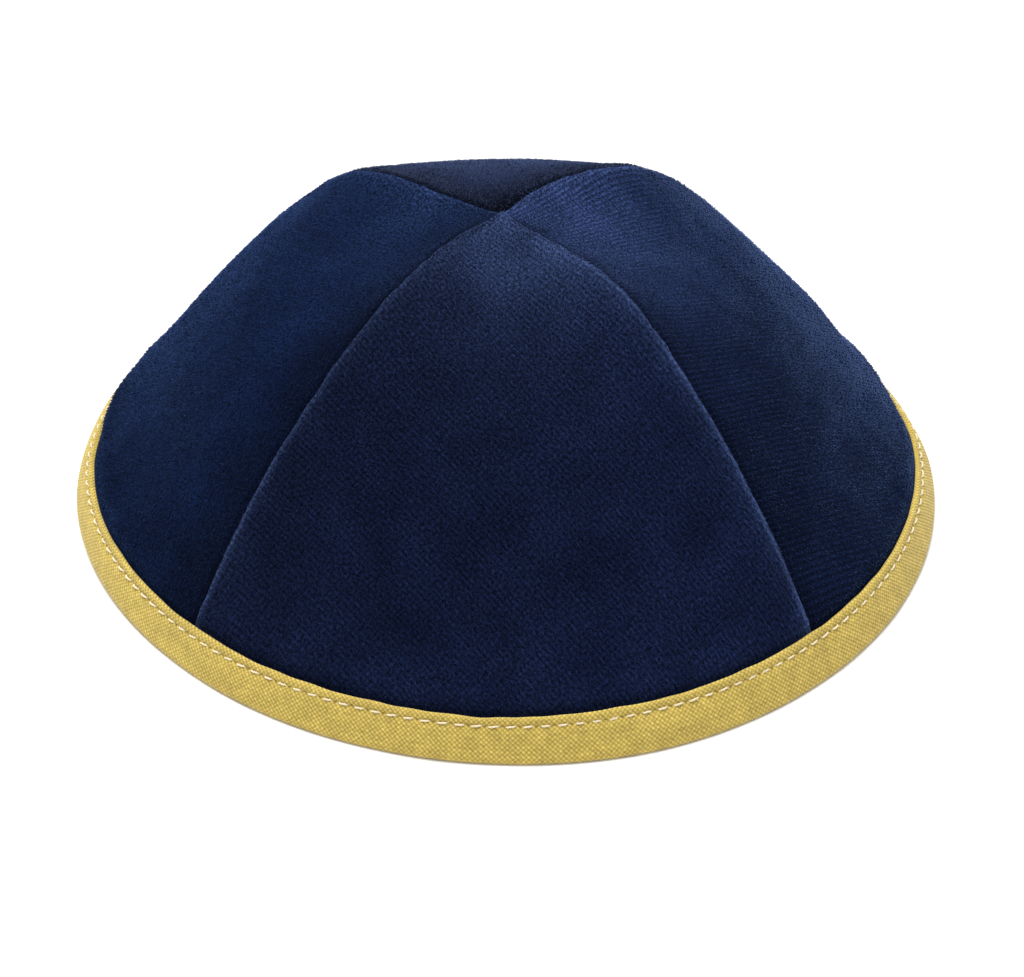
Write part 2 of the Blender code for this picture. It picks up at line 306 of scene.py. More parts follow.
def smooth(x, keys, values):
    """A cubic curve through the points, which rises and falls only where they do."""
    keys = np.asarray(keys, dtype=float)
    values = np.asarray(values, dtype=float)
    steps = np.diff(keys)
    rises = np.diff(values) / steps
    slopes = np.empty(len(keys))
    slopes[0], slopes[-1] = rises[0], rises[-1]
    for i in range(1, len(keys) - 1):
        before, after = rises[i - 1], rises[i]
        slopes[i] = 2 * before * after / (before + after) if before * after > 0 else 0.0
    i = np.clip(np.searchsorted(keys, x, side="right") - 1, 0, len(steps) - 1)
    t = (np.asarray(x, dtype=float) - keys[i]) / steps[i]
    start = (1 + 2 * t) * (1 - t) ** 2 * values[i] + t * (1 - t) ** 2 * steps[i] * slopes[i]
    end = t * t * (3 - 2 * t) * values[i + 1] - t * t * (1 - t) * steps[i] * slopes[i + 1]
    return start + end


def ease(x):
    """From 0 to 1 and level at both ends, as x goes from 0 to 1."""
    x = np.clip(x, 0.0, 1.0)
    return x * x * (3 - 2 * x)


def bell(x, reach):
    """From 1 at zero down towards 0 on both sides, about as far away as the reach."""
    return np.exp(-(x / reach) ** 2)


def ripple(distance, length, seed, waves=7):
    """An uneven wave along a line, between about -1 and 1."""
    dice = np.random.default_rng(seed)
    total = np.zeros_like(np.asarray(distance, dtype=float))
    for _ in range(waves):
        stretch, phase = dice.uniform(0.65, 1.5), dice.uniform(0, math.tau)
        total += np.cos(math.tau * distance / (length * stretch) + phase)
    return total / math.sqrt(waves)


def swell(points, length, seed, waves=18):
    """An uneven wave through space, between about -1 and 1."""
    dice = np.random.default_rng(seed)
    total = np.zeros(points.shape[:-1])
    for _ in range(waves):
        way = dice.normal(size=3)
        way /= np.linalg.norm(way) * length * dice.uniform(0.7, 1.5)
        total += np.cos(math.tau * (points @ way) + dice.uniform(0, math.tau))
    return total / math.sqrt(waves)


def crown_height(radius_share, kind):
    """Height of the velvet's outer side along a seam or a belly."""
    shares = [section.radius_share for section in SECTIONS]
    heights = [getattr(section, kind) for section in SECTIONS]
    return SEAT[1] + (CROWN_HEIGHT - SEAT[1]) * smooth(radius_share, shares, heights)


def seam_angle(seam, radius):
    turns = (seam.top_turn, seam.upper_turn, seam.middle_turn, seam.rim_turn)
    turn = np.radians(seam.angle_deg + smooth(np.minimum(radius / RIM_RADIUS, 1.0), SEAM_TURN_SHARES, turns))
    free = ease(radius / (12 * MM)) * ease((SEAT[0] - radius) / (6 * MM))
    wander = SEAM_WANDER * ripple(radius, SEAM_WANDER_LENGTH, seam.seed)
    return turn + wander * free / np.maximum(radius, SEAM_GAP)


def round_points(turn, radius, height):
    """Points at angles round the cap, from the front towards +X, at these radii and heights."""
    return np.stack(np.broadcast_arrays(radius * np.sin(turn), -radius * np.cos(turn), height), -1)


def turn_of(points):
    return np.arctan2(points[..., 0], -points[..., 1])


def placed(angle, radius, height):
    """Points in space, with the top of the crown leaning a little to one side."""
    points = round_points(angle, radius, height)
    rise = (height - SEAT[1]) / (CROWN_HEIGHT - SEAT[1])
    points[..., 0] += TOP_SHIFT_X * np.clip(rise, 0, None)
    return points


def pulled(points):
    """Points as the soft rim pulls them: in full at the tape's edge, less below it and above it."""
    across = np.hypot(points[..., 0], points[..., 1])
    angle = np.degrees(turn_of(points))
    keys = [place.angle_deg for place in RIM_PLACES]
    share = ease((across / SEAT[0] - RIM_PULL_STARTS) / RIM_PULL_FADE)
    height_share = np.clip(points[..., 2] / SEAT[1], 0, 1)
    out, up, foot = (smooth(angle, keys, [getattr(place, kind) for place in RIM_PLACES]) * share
                     for kind in ("out", "up", "foot"))
    out = out * height_share + foot * (1 - height_share)
    wider = 1 + out / np.maximum(across, 1 * MM)
    return np.stack((points[..., 0] * wider, points[..., 1] * wider, points[..., 2] + up * height_share), -1)


def over_edge(distance):
    """Depth of a panel's edge that lies over its neighbour's: it puffs up, then rolls down."""
    left = np.clip(OVER_ROLL - distance, 0, OVER_ROLL)
    roll = OVER_ROLL - np.sqrt(OVER_ROLL ** 2 - left ** 2)
    return roll - OVER_PUFF * bell(distance - OVER_PUFF_AT, OVER_PUFF_AT)


def under_edge(distance):
    """Depth of a panel's edge that dips under its neighbour's."""
    return UNDER_DIP * (1 - ease(distance / UNDER_WIDTH))


class Skin:
    """The outer side of a panel at any share of the way down, and at any share of the way across."""

    def __init__(self, panel):
        self.panel = panel
        spread = seam_angle(panel.right, 0.0) - seam_angle(panel.left, 0.0)
        self.tip_radius = SEAM_GAP / 2 / math.sin(spread / 2)
        shares = np.linspace(0, 1, 600)
        heights = crown_height(shares, "belly_share")
        steps = np.hypot(np.diff(shares) * SEAT[0], np.diff(heights))
        self.shares = shares
        self.lengths = np.concatenate(((0.0,), np.cumsum(steps)))
        self.length = self.lengths[-1]

    def share_at(self, length):
        """The share of the crown's radius at a length down the panel from its tip."""
        return np.interp(length, self.lengths, self.shares)

    def row(self, share):
        """Radius, first angle, last angle and width of a row."""
        radius = np.maximum(share * SEAT[0], self.tip_radius)
        inset = np.arcsin(SEAM_GAP / 2 / radius)
        start = seam_angle(self.panel.left, radius) + inset
        end = seam_angle(self.panel.right, radius) - inset
        return radius, start, end, radius * (end - start)

    def edges(self, across, width):
        """The panel's two seams, whether its edge is over there, and how far away each seam is."""
        panel = self.panel
        return ((panel.left, panel.left_over, across * width),
                (panel.right, panel.right_over, (1 - across) * width))

    def depth(self, share, across, points):
        """How far the surface lies below the plain crown, edges, waves and swell included."""
        radius, _, _, width = self.row(share)
        length = np.interp(share, self.shares, self.lengths)
        above_tape = self.length - length
        total = np.full(points.shape[:-1], PILE_BED)
        fade = ease(above_tape / (1.6 * MM)) * ease(radius / (3 * MM))
        for seam, over, distance in self.edges(across, width):
            if over:
                bumps = ripple(length, SCALLOP_LENGTH, seam.seed + 30)
                total += fade * (over_edge(distance) - SCALLOP * bumps * np.exp(-distance / (1.1 * MM)))
            else:
                total += fade * under_edge(distance) * (1 - UNDER_DIP_LESS_AT_RIM * share ** 2)
        open_cloth = ease(above_tape / (7 * MM))
        total -= open_cloth * BROAD_WAVE * swell(points, BROAD_WAVE_LENGTH, 41)
        total -= open_cloth * SMALL_WAVE * swell(points, SMALL_WAVE_LENGTH, 42)
        total -= HEM_PUFF * bell(above_tape - HEM_PUFF_AT, HEM_PUFF_WIDTH) * ease(above_tape / (1.2 * MM))
        around = turn_of(points) * SEAT[0]
        gathers = ripple(around, PUCKER_LENGTH, 43) * np.exp(-above_tape / PUCKER_REACH)
        total -= PUCKER * gathers * ease(above_tape / (2 * MM))
        total -= self.panel.tip_lift * bell(radius, TIP_LIFT_REACH)
        for place in SWELLINGS:
            middle = round_points(math.radians(place.angle_deg), place.radius_share * SEAT[0], 0.0)
            away = np.hypot(points[..., 0] - middle[0], points[..., 1] - middle[1])
            total -= place.rise * bell(away, place.reach) * ease(above_tape / (2 * MM))
        return total

    def nap(self, share, across):
        """Painted shade beside a covering seam, with gains and mottling, and painted sheen at the top and on
        edges.
        """
        look = VELVET_LOOKS[self.panel.name]
        _, _, _, width = self.row(share)
        length = np.interp(share, self.shares, self.lengths)
        shade = (1 + look.side_gain * (across - 0.5)) * (1 + look.rim_gain * share ** 3)
        places = np.stack(((across - 0.5) * width, length, 0 * length), -1)
        shade = shade * (1 + MOTTLE * swell(places, MOTTLE_LENGTH, self.panel.seed + 65))
        # Painted sheen: paler towards the top of the panel, where the cloth faces the light overhead
        bloom = look.top_bloom * bell(length, look.top_reach)
        for _, over, distance in self.edges(across, width):
            if over:
                # Painted sheen along an over edge: a broad band, and a thin line where its roll would catch
                # grazing sheen
                bloom = bloom + look.edge_bloom * bell(distance, EDGE_PAINTED_SHEEN_WIDTH) * (1 - 0.5 * share)
                bloom = bloom + EDGE_LINE_PAINTED_SHEEN * bell(distance, EDGE_LINE_WIDTH) * share
            else:
                # Painted shade beside a seam that covers this edge
                shade = shade * (1 - look.seam_shade * bell(distance, look.shade_reach))
        return shade, np.minimum(bloom * shade, 1.0)

    def cloth_place(self, share, across):
        """Where a point lay in the flat cloth: aside from the panel's middle line, and down along it."""
        radius, start, end, _ = self.row(share)
        middle = math.radians((self.panel.left.angle_deg + self.panel.right.angle_deg) / 2)
        turn = start + (end - start) * across - middle
        length = np.interp(share, self.shares, self.lengths)
        return radius * np.sin(turn), length - radius * (1 - np.cos(turn))

    def flow(self, share, across):
        """Angle, radius and height on the plain crown, and which way is out of it in an upright plane."""
        def height_at(at):
            seam, belly = crown_height(at, "seam_share"), crown_height(at, "belly_share")
            return seam + (belly - seam) * (1 - np.abs(2 * across - 1) ** BELLY_POWER)
        radius, start, end, _ = self.row(share)
        reach = 0.004
        low, high = np.clip(share - reach, 0, 1), np.clip(share + reach, 0, 1)
        run, fall = (high - low) * SEAT[0], height_at(high) - height_at(low)
        size = np.hypot(run, fall)
        return start + (end - start) * across, radius, height_at(share), -fall / size, run / size

    def points(self, share, across, raised=0.0):
        """Points of the finished surface, raised out of it by a little where asked."""
        angle, radius, height, outward, upward = self.flow(share, across)
        plain = placed(angle, radius, height)
        down = self.depth(share, across, plain) - raised
        return pulled(placed(angle, radius - down * outward, height - down * upward))


# Meshes

def join_lines(faces, first, second):
    """Faces between two lines of vertices that run the same way, with any number of points each."""
    i, j, last, end = 0, 0, len(first) - 1, len(second) - 1
    while i < last or j < end:
        step, other = (i + 1) * end, (j + 1) * last
        if i < last and j < end and step == other:
            faces.append((first[i], first[i + 1], second[j + 1], second[j]))
            i, j = i + 1, j + 1
        elif j == end or (i < last and step < other):
            faces.append((first[i], first[i + 1], second[j]))
            i += 1
        else:
            faces.append((first[i], second[j + 1], second[j]))
            j += 1


def new_thing(name, data):
    """An object in the scene."""
    thing = bpy.data.objects.new(name, data)
    bpy.context.scene.collection.objects.link(thing)
    return thing


def store(mesh, label, value):
    """Puts a named value on every point of a mesh, or a named direction."""
    kind, part = ("FLOAT_VECTOR", "vector") if value.ndim == 2 else ("FLOAT", "value")
    mesh.attributes.new(label, kind, "POINT").data.foreach_set(part, value.astype(np.float32).ravel())


def make_mesh(name, points, faces, uv, values, wrap=None):
    """A mesh object with its faces pointing out, a UV map in millimetres, and named point values."""
    used = np.unique(np.concatenate([np.asarray(face) for face in faces]))
    place = np.full(len(points), -1)
    place[used] = np.arange(len(used))
    mesh = bpy.data.meshes.new(name)
    mesh.from_pydata(points[used].tolist(), [], [[int(place[v]) for v in face] for face in faces])
    for label, value in values.items():
        store(mesh, label, value[used])
    bm = bmesh.new()
    bm.from_mesh(mesh)
    bmesh.ops.recalc_face_normals(bm, faces=bm.faces)
    bm.to_mesh(mesh)
    bm.free()
    corners = np.empty(len(mesh.loops), dtype=int)
    mesh.loops.foreach_get("vertex_index", corners)
    flat = uv[used][corners]
    if wrap:
        flat = close_round(mesh, flat, wrap)
    mesh.uv_layers.new(name="cloth").uv.foreach_set("vector", flat.astype(np.float32).ravel())
    mesh.shade_smooth()
    return new_thing(name, mesh)


def close_round(mesh, flat, wrap):
    """Corner coordinates in which the faces that close the ring run on past its end."""
    starts = np.empty(len(mesh.polygons), dtype=int)
    totals = np.empty(len(mesh.polygons), dtype=int)
    mesh.polygons.foreach_get("loop_start", starts)
    mesh.polygons.foreach_get("loop_total", totals)
    owner = np.repeat(np.arange(len(starts)), totals)
    highest = np.full(len(starts), -np.inf)
    np.maximum.at(highest, owner, flat[:, 0])
    behind = flat[:, 0] < highest[owner] - wrap / 2
    flat[behind, 0] += wrap
    return flat


def finish_piece(thing, node=None):
    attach(thing, "root")
    if node:
        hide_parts(node)
    return thing


# Velvet panels

def column_shares(width):
    """Columns across rows of these widths: an even few close to each seam, and the rest between."""
    u = np.linspace(0, 1, PANEL_COLUMNS + 1)[None, :]
    zone = np.minimum(EDGE_ZONE / width, EDGE_MOST_OF_ROW)[:, None]
    edge = EDGE_COLUMNS / PANEL_COLUMNS
    middle = zone + (u - edge) / (1 - 2 * edge) * (1 - 2 * zone)
    return np.where(u < edge, u / edge * zone, np.where(u > 1 - edge, 1 - (1 - u) / edge * zone, middle))


def column_steps(widths):
    """How many columns a row leaves out: a narrow row near the tip needs few."""
    steps = []
    for width in widths:
        step = 1
        while step * 2 <= PANEL_COLUMNS // 4 and width * step * 2 < widths.max() * 1.02:
            step *= 2
        steps.append(step)
    return steps


def inner_step(step):
    """How many columns the inner side leaves out, so that it still reaches both edges."""
    wide = step * INNER_STEP
    return wide if PANEL_COLUMNS % wide == 0 else PANEL_COLUMNS // 2


def panel_sides(skin):
    """Grids of the panel's outer and inner sides, its cloth coordinates and its painted shade and sheen
    values.
    """
    crown = skin.share_at(np.linspace(0, skin.length, PANEL_ROWS + 1))
    hem = np.linspace(0, 1, HEM_ROWS + 1)[1:]
    share = np.concatenate((crown, np.ones(HEM_ROWS)))
    down = np.concatenate((np.zeros(PANEL_ROWS + 1), hem))
    width = skin.row(share)[3]
    across = column_shares(width)
    grid_share = np.broadcast_to(share[:, None], across.shape)
    angle, radius, height, outward, upward = skin.flow(grid_share, across)
    plain = placed(angle, radius, height)
    depth = skin.depth(grid_share, across, plain)
    depth = np.where(down[:, None] > 0, 0.0, depth)
    outward = np.where(share[:, None] == 1, OUT_OF_THE_WALL[0], outward)
    upward = np.where(share[:, None] == 1, OUT_OF_THE_WALL[1], upward)
    radius = radius + DOWN_THE_WALL[0] * OUTER_LEG * down[:, None]
    height = height + DOWN_THE_WALL[1] * OUTER_LEG * down[:, None]
    outer = pulled(placed(angle, radius - depth * outward, height - depth * upward))
    bunched = bell(radius, TIP_BULK_REACH)
    deeper = (depth + VELVET_THICKNESS) * (1 - bunched) + (VELVET_THICKNESS + TIP_BULK) * bunched
    lapped = angle + (2 * across - 1) * SEAM_LAP / np.maximum(radius, 2 * MM)
    inner = pulled(placed(lapped, radius - deeper * outward, height - deeper * upward))
    aside, below = skin.cloth_place(grid_share, across)
    uv = np.stack((aside, below + OUTER_LEG * down[:, None]), -1) / MM
    # How close an edge that lies under its neighbour's is, for the painted shade in that crease
    covered = np.ones(across.shape)
    for _, over, distance in skin.edges(across, width[:, None]):
        covered = covered if over else np.minimum(covered, distance)
    shade, bloom = skin.nap(grid_share, across)
    values = {"tint": shade, "bloom": bloom, "under_edge": np.exp(-covered / UNDER_SHADE_REACH)}
    return outer, inner, uv, values, width


def panel_lines(index, steps, rows):
    """Lines of vertices down one side of a panel: its tip, and then the rows that it keeps."""
    return [[int(index[0, 0])] * 2] + [list(index[i, ::steps[i]]) for i in rows[1:]]


def make_panel(panel):
    skin = Skin(panel)
    outer, inner, uv, values, width = panel_sides(skin)
    rows, columns = outer.shape[:2]
    index = np.arange(rows * columns).reshape(rows, columns)
    steps = column_steps(width)
    inner_at = sorted(set(range(0, rows, INNER_STEP)) | {PANEL_ROWS, rows - 1})
    shift = rows * columns
    outer_rows = panel_lines(index, steps, range(rows))
    inner_rows = panel_lines(index + shift, [inner_step(step) for step in steps], inner_at)
    faces = []
    for lines in (outer_rows, inner_rows):
        lines = [lines[0][:1]] + lines[1:]
        for upper, lower in zip(lines, lines[1:]):
            join_lines(faces, upper, lower)
    for end in (0, -1):
        join_lines(faces, [row[end] for row in outer_rows], [row[end] for row in inner_rows])
    join_lines(faces, outer_rows[-1], inner_rows[-1])
    points = np.concatenate((outer.reshape(-1, 3), inner.reshape(-1, 3)))
    both = {name: np.concatenate((value.ravel(), np.zeros(shift))) for name, value in values.items()}
    both["inside"] = np.concatenate((np.zeros(shift), np.ones(shift)))
    name = "velvet_" + panel.name
    thing = make_mesh(name, points, faces, np.tile(uv.reshape(-1, 2), (2, 1)), both)
    thing.data.materials.append(velvet_material(panel))
    return finish_piece(thing, "panel_" + panel.name), skin


# The pile

def turned(first, second, degrees):
    """Flat coordinates turned by an angle."""
    turn = math.radians(degrees)
    return first * math.cos(turn) - second * math.sin(turn), first * math.sin(turn) + second * math.cos(turn)


def unit(vectors):
    return vectors / np.linalg.norm(vectors, axis=1)[:, None]


def tuft_places(skin):
    """Where the tufts stand: a loose lattice over the panel, turned to the angle of its rows."""
    dice = np.random.default_rng(skin.panel.seed)
    reach = skin.length * 1.1
    count = int(2 * reach / TUFT_SPACING)
    line = (np.arange(count) - count / 2) * TUFT_SPACING
    first, second = np.meshgrid(line, line)
    first = first + dice.uniform(-0.5, 0.5, first.shape) * TUFT_SPACING
    second = second + dice.uniform(-0.5, 0.5, first.shape) * TUFT_SPACING
    u, v = turned(first, second, ROW_DEG)
    v = v + skin.length / 2
    inside = (v > PILE_BELOW_TIP) & (v < skin.length - PILE_ABOVE_TAPE)
    u, v = u[inside], v[inside]
    share = skin.share_at(v)
    width = skin.row(share)[3]
    inside = np.abs(u) < width / 2 - PILE_OFF_SEAM
    u, v, share, width = u[inside], v[inside], share[inside], width[inside]
    return u, v, share, u / width + 0.5, width


def tuft_cloud(skin):
    """Points on the panel with the direction, length and tint of the tuft that each one carries."""
    panel, look = skin.panel, VELVET_LOOKS[skin.panel.name]
    u, v, share, across, width = tuft_places(skin)
    dice = np.random.default_rng(panel.seed + 100)
    root = skin.points(share, across, raised=-TUFT_SINK)
    here, step = skin.points(share, across), 0.5 * MM
    aside = unit(skin.points(share, np.clip(across + step / width, 0, 1)) - here)
    below = unit(skin.points(skin.share_at(v + step), across) - here)
    out = unit(np.cross(below, aside))
    places = np.stack((u, v, np.zeros_like(u)), -1)
    stray = TUFT_LEAN_SPREAD * min(look.grain, 1.0)
    drift = LEAN_DRIFT * swell(places, ASIDE_DRIFT_LENGTH, panel.seed + 60)
    lean_across = panel.lean_across + drift + dice.normal(0, stray, len(u))
    drift = LEAN_DRIFT * swell(places, DOWN_DRIFT_LENGTH, panel.seed + 61)
    lean_down = -panel.lean_up + drift + dice.normal(0, stray, len(u))
    lean = unit(out + aside * lean_across[:, None] + below * lean_down[:, None])
    along_rows, across_rows = turned(*skin.cloth_place(share, across), -ROW_DEG)
    across_rows = across_rows + ROW_WANDER * swell(places, ROW_WANDER_LENGTH, panel.seed + 62)
    wave = ROW_SHARE * np.cos(math.tau * across_rows / ROW_PITCH)
    wave += CROSS_SHARE * np.cos(math.tau * along_rows / CROSS_PITCH)
    shade, bloom = skin.nap(share, across)
    grain = look.grain * (1 - PALE_NAP_EVENNESS * bloom)
    dash_places = np.stack((along_rows / DASH_LENGTH, across_rows / DASH_WIDTH, 0 * u), -1)
    dashes = swell(dash_places, 1.0, panel.seed + 64, 40)
    length = 1 + panel.rows * ROW_RISE * wave + DASH_RISE * dashes
    length += dice.normal(0, TUFT_LENGTH_SPREAD, len(u))
    edge = np.minimum(np.minimum(across, 1 - across) * width / EDGE_TUFTS_REACH, 1.0)
    length *= 1 - EDGE_TUFTS_SHORTER * (1 - edge)
    length = TUFT_LENGTH * np.clip(length, SHORTEST_TUFT, LONGEST_TUFT)
    tint = panel.rows * ROW_TINT * wave + DASH_TINT * dashes + dice.normal(0, TUFT_TINT_SPREAD, len(u))
    # The panel's painted shade beside seams, with its gains and mottling, darkens the tufts too
    tint = np.clip(1 + grain * tint, LEAST_TINT, MOST_TINT) * shade
    tint *= 1 + BLOTCH * swell(places, BLOTCH_LENGTH, panel.seed + 63)
    return root, {"lean": lean, "length": length, "tint": tint, "bloom": bloom}


def link(tree, source, target):
    tree.links.new(source, target)


def new_tree(name, sizes, seed):
    """A Geometry Nodes tree with these named inputs, its input sockets, and their values by identifier."""
    tree = bpy.data.node_groups.new(name, "GeometryNodeTree")
    for way in ("INPUT", "OUTPUT"):
        tree.interface.new_socket("Geometry", in_out=way, socket_type="NodeSocketGeometry")
    values = {}
    for label, value in {**sizes, "Seed": seed}.items():
        kind = "NodeSocketInt" if label == "Seed" else "NodeSocketFloat"
        socket = tree.interface.new_socket(label, in_out="INPUT", socket_type=kind)
        socket.default_value = value
        values[socket.identifier] = value
    return tree, tree.nodes.new("NodeGroupInput").outputs, values


def add_node(tree, kind, values=None, **settings):
    """A node with its settings, and each input either linked to a socket or set to a value."""
    made = tree.nodes.new(kind)
    for name, value in settings.items():
        setattr(made, name, value)
    for key, value in (values or {}).items():
        if isinstance(value, bpy.types.NodeSocket):
            link(tree, value, made.inputs[key])
        else:
            made.inputs[key].default_value = value
    return made


def result(tree, kind, values=None, **settings):
    """The first output of a new node."""
    return add_node(tree, kind, values, **settings).outputs[0]


def calc(tree, operation, *values):
    return result(tree, "ShaderNodeMath", dict(enumerate(values)), operation=operation)


def vector_calc(tree, operation, *values, **named):
    return result(tree, "ShaderNodeVectorMath", {**dict(enumerate(values)), **named}, operation=operation)


def named_field(tree, name, data_type="FLOAT"):
    return result(tree, "GeometryNodeInputNamedAttribute", {"Name": name}, data_type=data_type)


def stand_on_points(tree, points, instance, rotation, scale, material):
    """Ends a tree: the instance stands on every point, made real, with its material."""
    stood = result(tree, "GeometryNodeInstanceOnPoints", {
        "Points": points, "Instance": instance, "Rotation": rotation, "Scale": scale,
    })
    real = result(tree, "GeometryNodeRealizeInstances", {0: stood})
    coloured = result(tree, "GeometryNodeSetMaterial", {0: real, "Material": material})
    smoothed = result(tree, "GeometryNodeSetShadeSmooth", {0: coloured, "Shade Smooth": True})
    link(tree, smoothed, tree.nodes.new("NodeGroupOutput").inputs[0])


def pile_tree(material):
    """Stands a closed three-sided tuft on every point, leaning and as long as the point says."""
    tree, inputs, values = new_tree("stand the pile", {"Tuft Radius": TUFT_RADIUS}, TUFT_SEED)
    cone = result(tree, "GeometryNodeMeshCone", {
        "Vertices": 3, "Radius Top": 0.0, "Radius Bottom": inputs["Tuft Radius"], "Depth": 1.0,
    }, fill_type="NGON")
    place = add_node(tree, "ShaderNodeSeparateXYZ", {0: result(tree, "GeometryNodeInputPosition")})
    tuft = result(tree, "GeometryNodeStoreNamedAttribute", {
        "Geometry": cone, "Name": "tip", "Value": place.outputs["Z"],
    }, data_type="FLOAT", domain="POINT")
    turn = add_node(tree, "FunctionNodeRandomValue", {
        "Min": 0.0, "Max": math.pi, "Seed": inputs["Seed"],
    }, data_type="FLOAT")
    upright = result(tree, "FunctionNodeAxisAngleToRotation", {"Axis": (0, 0, 1), "Angle": turn.outputs[1]})
    leaning = result(tree, "FunctionNodeAlignRotationToVector", {
        "Rotation": upright, "Vector": named_field(tree, "lean", "FLOAT_VECTOR"),
    }, axis="Z")
    scale = result(tree, "ShaderNodeCombineXYZ", {"X": 1.0, "Y": 1.0, "Z": named_field(tree, "length")})
    stand_on_points(tree, inputs["Geometry"], tuft, leaning, scale, material)
    return tree, values


def grow(name, points, fields, tree, values):
    """The plain mesh that a Geometry Nodes tree makes of points, which go away."""
    start = bpy.data.meshes.new(name + "_points")
    start.from_pydata(points.tolist(), [], [])
    for label, value in fields.items():
        store(start, label, value)
    seed_thing = new_thing(name + "_points", start)
    modifier = seed_thing.modifiers.new("grow", "NODES")
    modifier.node_group = tree
    for identifier, value in values.items():
        modifier[identifier] = value
    bpy.context.view_layer.update()
    evaluated = seed_thing.evaluated_get(bpy.context.evaluated_depsgraph_get())
    mesh = bpy.data.meshes.new_from_object(evaluated)
    mesh.name = name
    bpy.data.objects.remove(seed_thing, do_unlink=True)
    return new_thing(name, mesh)


def make_pile(skin):
    thing = grow("pile_" + skin.panel.name, *tuft_cloud(skin), *pile_tree(pile_material(skin.panel)))
    return finish_piece(thing)


# The tape round the rim

def wall_point(out, up):
    """A point of the rim's section, from the hem's end: out of the wall, and up along it."""
    return HEM_END + OUT_OF_THE_WALL * out - DOWN_THE_WALL * up


def corner_arc(centre, radius, start_deg, end_deg, steps):
    turns = np.radians(np.linspace(start_deg, end_deg, steps + 1))
    return [centre + radius * np.array((math.cos(turn), math.sin(turn))) for turn in turns]


def tape_outline():
    """The tape's shown side as a line: over its upper edge, down, round the fold, and up inside."""
    out_deg = 90.0 - TAPE_LEAN_DEG
    rounding = TAPE_TOP_ROUND
    outer_edge = wall_point(FOLD_HALF - rounding, OUTER_LEG - rounding)
    inner_corner = on_the_wall(FOLD_CORNER - FOLD_HALF, FOLD_CORNER)
    inner_edge = wall_point(rounding - FOLD_HALF, INNER_LEG - rounding)
    line = [wall_point(CHANNEL_HALF, OUTER_LEG - TAPE_EDGE_START), wall_point(CHANNEL_HALF, OUTER_LEG)]
    line += corner_arc(outer_edge, rounding, out_deg + 90.0, out_deg, 10)
    line += corner_arc(OUTER_CORNER, FOLD_CORNER, out_deg, -90.0, 10)
    line += corner_arc(inner_corner, FOLD_CORNER, -90.0, out_deg - 180.0, 8)
    line += corner_arc(inner_edge, rounding, out_deg + 180.0, out_deg + 90.0, 6)
    line += [wall_point(-CHANNEL_HALF, INNER_LEG)]
    return np.array(line)


def channel_line():
    """The hidden side of the tape, from inside the cap round the hem and back out."""
    inside = [(-CHANNEL_HALF, up) for up in (INNER_LEG - 1.0 * MM, INNER_LEG / 2, -TAPE_CLEARANCE)]
    outside = [(CHANNEL_HALF, up) for up in (-TAPE_CLEARANCE, OUTER_LEG / 2, OUTER_LEG - 1.0 * MM)]
    return np.array([wall_point(out, up) for out, up in inside + outside])


def along(line, lengths):
    """Points at lengths along a line, which way its right side faces there, and its whole length."""
    marks = np.concatenate(((0.0,), np.cumsum(np.hypot(*np.diff(line, axis=0).T))))
    beside = 0.12 * MM
    spots, ahead, behind = (np.stack([np.interp(lengths + by, marks, line[:, axis]) for axis in (0, 1)], -1)
                            for by in (0.0, beside, -beside))
    way = unit(ahead - behind)
    return spots, np.stack((-way[:, 1], way[:, 0]), -1), marks[-1]


def weave_height(along_tape, across_tape):
    """The woven surface between -1 and 1: threads both ways at 45 degrees, over and under in turn."""
    a = (along_tape + across_tape) / WEAVE_REPEAT
    b = (along_tape - across_tape) / WEAVE_REPEAT
    warp, weft = np.round(b), np.round(a)
    warp_side, weft_side = np.cos(math.pi * (b - warp)), np.cos(math.pi * (a - weft))
    warp_top = warp_side + THREAD_OVER * np.cos(math.pi * (a + warp)) - 1.0
    weft_top = weft_side - THREAD_OVER * np.cos(math.pi * (b + weft)) - 1.0 - WEFT_LOWER
    return np.maximum(warp_top, weft_top) / WEAVE_SPAN


def stitch_line():
    """Where the row of stitches lies on the tape's outer side: radius and height."""
    return wall_point(FOLD_HALF, OUTER_LEG - STITCH_BELOW_EDGE)


def stitch_count():
    return round(math.tau * stitch_line()[0] / STITCH_PITCH)


def tape_relief(u, v, middle_radius, round_length, is_fine):
    """How far the shown side is raised, how far its edge wanders, and where the needle holes are."""
    to_stitch = TAPE_EDGE_START + TAPE_THICKNESS + STITCH_BELOW_EDGE + TAPE_TOP_ROUND * (math.pi / 2 - 2)
    weave = weave_height(u, v)
    raised = np.where(is_fine, WEAVE_RELIEF * weave, 0.0)
    shown_part = ease(v / (1 * MM)) * ease((TAPE_SHOWN_LENGTH - v) / (2 * MM))
    turn = u / middle_radius
    circle = np.stack((np.sin(turn), np.cos(turn), v / middle_radius * 2), -1) * middle_radius
    raised = raised + TAPE_WAVE * swell(circle, TAPE_WAVE_LENGTH, 51) * shown_part
    from_stitch = v - to_stitch
    count = stitch_count()
    phase = (u / round_length * count) % 1.0
    from_hole = np.minimum(phase, 1 - phase) * round_length / count
    hole = bell(from_hole, HOLE_LENGTH) * bell(from_stitch, HOLE_WIDTH)
    raised = raised - GROOVE_DEPTH * bell(from_stitch, GROOVE_HALF_WIDTH) - HOLE_DEPTH * hole
    billow = np.clip(from_stitch, 0, None) / TAPE_BILLOW_AT
    raised = raised + TAPE_BILLOW * billow * np.exp(1 - billow) * shown_part
    wander = TAPE_EDGE_WAVE * swell(circle[0], TAPE_EDGE_WAVE_LENGTH, 52) * np.exp(-v / TAPE_EDGE_WAVE_REACH)
    return raised, wander + SERRATION * weave * bell(v - SERRATION_AT, SERRATION_WIDTH), hole


